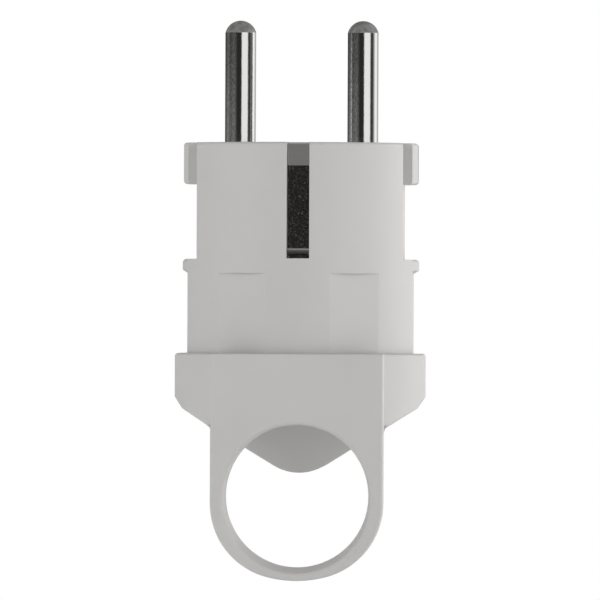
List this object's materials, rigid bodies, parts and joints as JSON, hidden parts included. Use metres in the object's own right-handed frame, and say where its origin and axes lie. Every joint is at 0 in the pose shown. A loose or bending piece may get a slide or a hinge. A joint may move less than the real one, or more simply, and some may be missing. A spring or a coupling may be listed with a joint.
{
  "type": "angled mains plug",
  "caption": "Grey angled mains plug with round contact pins, side earth contacts, an earth socket, a finger pull ring and a cord outlet at right angles to the pins.",
  "frame": {"origin": "midway between the contact pins on the front face of the nose", "axes": "+Z along the pins and away from the plug, +Y towards the cord outlet, -Y towards the pull ring, +X to the right seen from the pull ring side"},
  "size_m": [0.0386, 0.0515, 0.0865],
  "materials": {
    "grey_plastic": "moulded, satin",
    "clamp_plastic": "moulded, matte",
    "nickel_plate": "turned and nickel-plated",
    "contact_strip": "rolled strip, dull",
    "bare_brass": "drawn, bare",
    "zinc_steel": "zinc-plated"
  },
  "bodies": {
    "root": {"front_body": "grey_plastic", "rear_cover": "grey_plastic", "left_pin": "nickel_plate", "right_pin": "nickel_plate", "terminal_screws": "zinc_steel", "near_earth_contact": "contact_strip", "far_earth_contact": "contact_strip", "earth_bridge": "contact_strip", "earth_socket": "bare_brass", "earth_clamp_washer": "zinc_steel", "earth_terminal_screw": "zinc_steel", "cord_clamp": "clamp_plastic", "cord_clamp_screws": "zinc_steel", "assembly_screw": "zinc_steel"}
  },
  "joints": []
}
